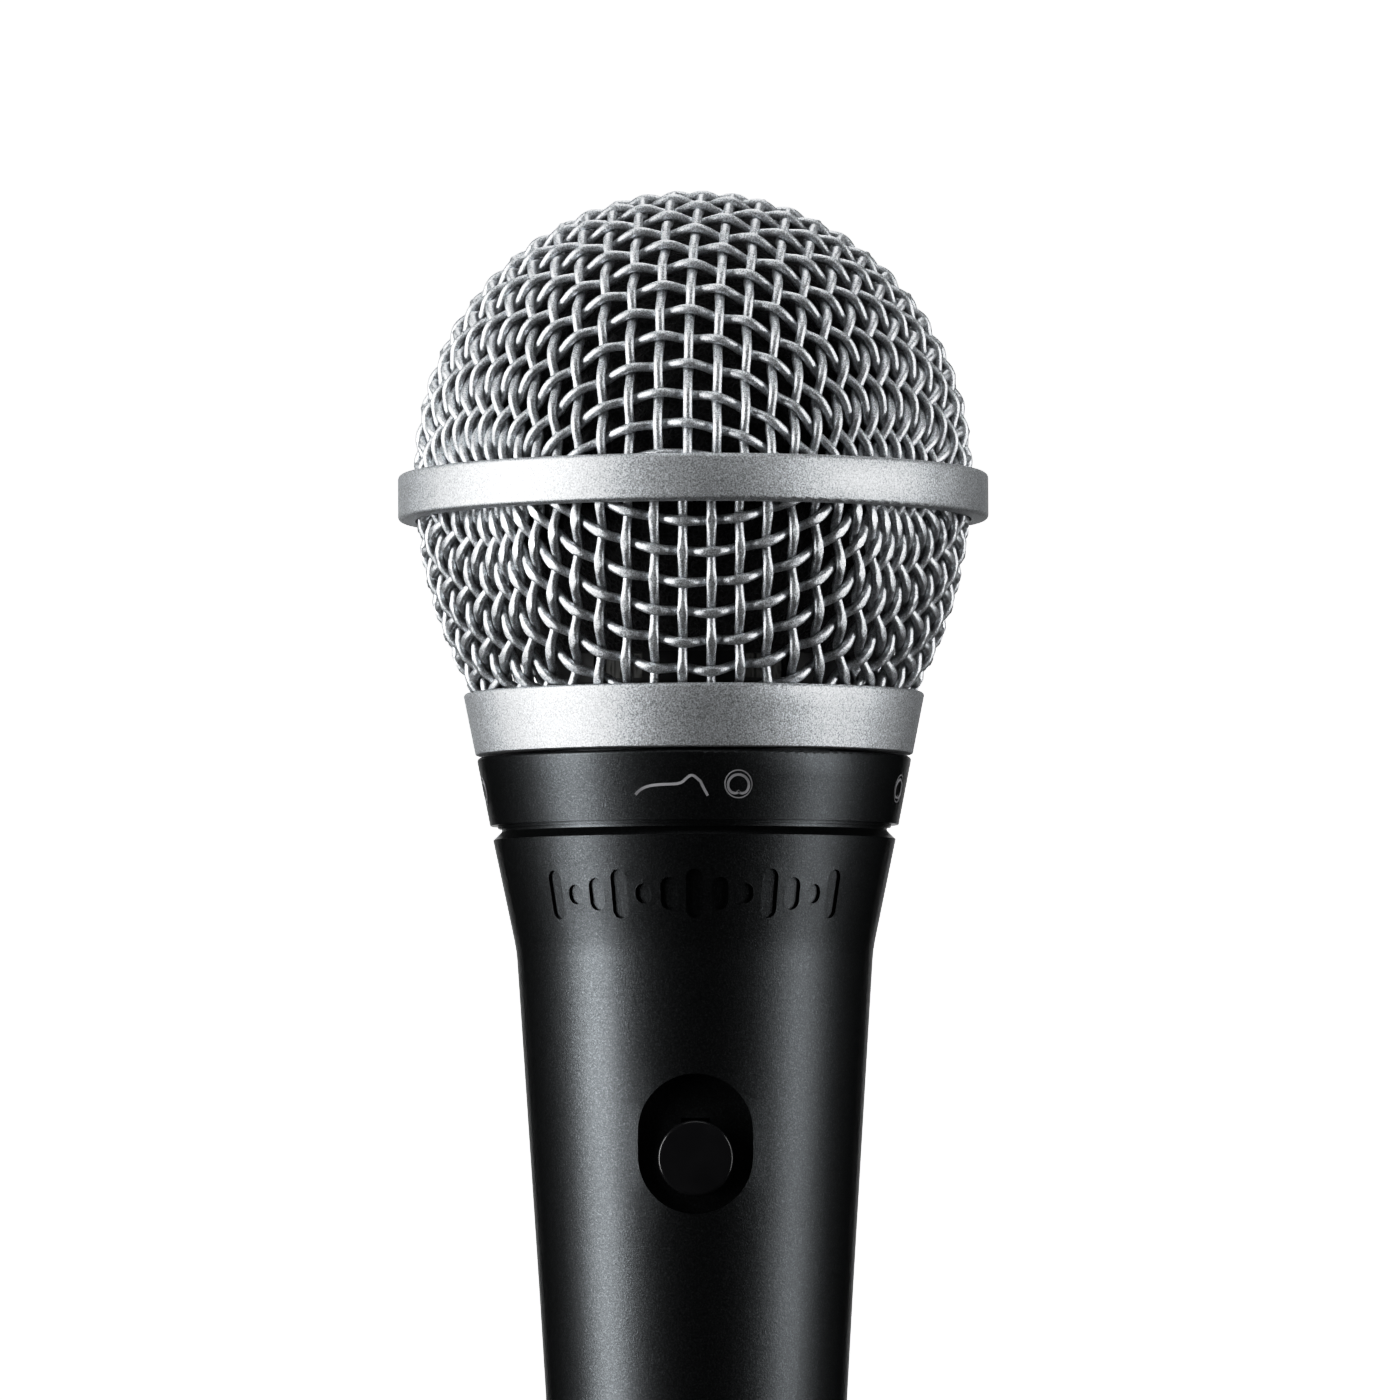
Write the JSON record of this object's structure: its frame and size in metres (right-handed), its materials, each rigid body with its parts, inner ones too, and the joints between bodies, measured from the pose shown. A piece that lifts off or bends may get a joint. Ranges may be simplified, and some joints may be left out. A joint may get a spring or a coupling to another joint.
{
  "type": "dynamic microphone",
  "caption": "Handheld vocal microphone with a woven wire ball grille, a tapered metal handle with a slide switch and a three-pin connector socket in its base.",
  "frame": {"origin": "centre of the handle's bottom rim, at the mouth of the connector socket", "axes": "+Z along the microphone's axis towards the grille, -Y towards the front, where the slide switch is"},
  "size_m": [0.053, 0.053, 0.164],
  "materials": {
    "grille_wire": "satin sprayed silver over woven wire",
    "grille_ring": "satin silver",
    "handle_paint": "charcoal, fine metallic grain",
    "ring_paint": "charcoal, satin",
    "foam": "open-cell foam",
    "button_plastic": "black, half gloss",
    "black_plastic": "moulded black",
    "rubber": "soft black rubber",
    "film": "thin clear film",
    "cloth": "fine acoustic cloth",
    "copper": "enamelled copper wire",
    "contact_metal": "plated contact",
    "steel": "plain steel",
    "magnet": "ground magnet alloy",
    "laminations": "stacked sheet steel",
    "board": "brown laminate",
    "bobbin": "natural nylon",
    "screw_steel": "zinc plated",
    "lead_yellow": "wire insulation",
    "lead_green": "wire insulation",
    "lead_white": "wire insulation",
    "lead_red": "wire insulation",
    "lead_black": "wire insulation",
    "lead_blue": "wire insulation"
  },
  "bodies": {
    "handle": {"handle_shell": "handle_paint", "neck_ring": "ring_paint", "shock_mount": "rubber", "cartridge_housing": "black_plastic", "front_cap": "black_plastic", "front_screen": "cloth", "clamp_ring": "black_plastic", "diaphragm_frame": "black_plastic", "diaphragm_surround": "film", "pole_cap": "steel", "top_plate": "steel", "magnet": "magnet", "magnet_cup": "steel", "rear_port_cloth": "cloth", "rear_cavity": "black_plastic", "terminal_board": "board", "cartridge_terminals": "contact_metal", "switch_frame": "steel", "switch_base": "board", "switch_terminals": "contact_metal", "switch_screws": "screw_steel", "transformer_core": "laminations", "transformer_bobbin": "bobbin", "transformer_winding": "copper", "transformer_sleeve": "foam", "connector_insert": "black_plastic", "contact_pin_1": "contact_metal", "contact_pin_2": "contact_metal", "contact_pin_3": "contact_metal", "insert_set_screw": "screw_steel", "cartridge_lead_hot": "lead_yellow", "cartridge_lead_cold": "lead_green", "switch_lead": "lead_white", "output_lead_hot": "lead_red", "output_lead_cold": "lead_black", "ground_lead": "lead_blue"},
    "foam_bowl": {"foam_liner_bowl": "foam"},
    "foam_dome": {"foam_liner_dome": "foam"},
    "grille": {"grille_collar": "grille_ring", "grille_bowl_mesh": "grille_wire", "grille_band": "grille_ring", "grille_dome_mesh": "grille_wire"},
    "switch": {"switch_button": "button_plastic", "switch_slider": "black_plastic"},
    "diaphragm": {"diaphragm_dome": "film", "voice_coil": "copper"}
  },
  "joints": [
    {"name": "grille_lift_off", "type": "slide", "parent": "handle", "child": "foam_bowl", "axis": [0, 0, 1], "range_m": [0, 0.06]},
    {"name": "grille_thread_lift", "type": "slide", "parent": "foam_bowl", "child": "foam_dome", "axis": [0, 0, 1], "range_m": [0, 0.004]},
    {"name": "grille_turn", "type": "hinge", "parent": "foam_dome", "child": "grille", "pos_m": [0, 0, 0.115], "axis": [0, 0, 1], "range_deg": [0, 1440]},
    {"name": "switch_slide", "type": "slide", "parent": "handle", "child": "switch", "axis": [0, 0, 1], "range_m": [0, 0.0025]},
    {"name": "diaphragm_travel", "type": "slide", "parent": "handle", "child": "diaphragm", "axis": [0, 0, 1], "range_m": [-0.0002, 0.0002], "stiffness_N_per_m": 600, "deforming": ["diaphragm_surround"]}
  ],
  "couplings": [
    {"joint": "grille_thread_lift", "follows": "grille_turn", "m_per_rad": 0.00015915}
  ]
}
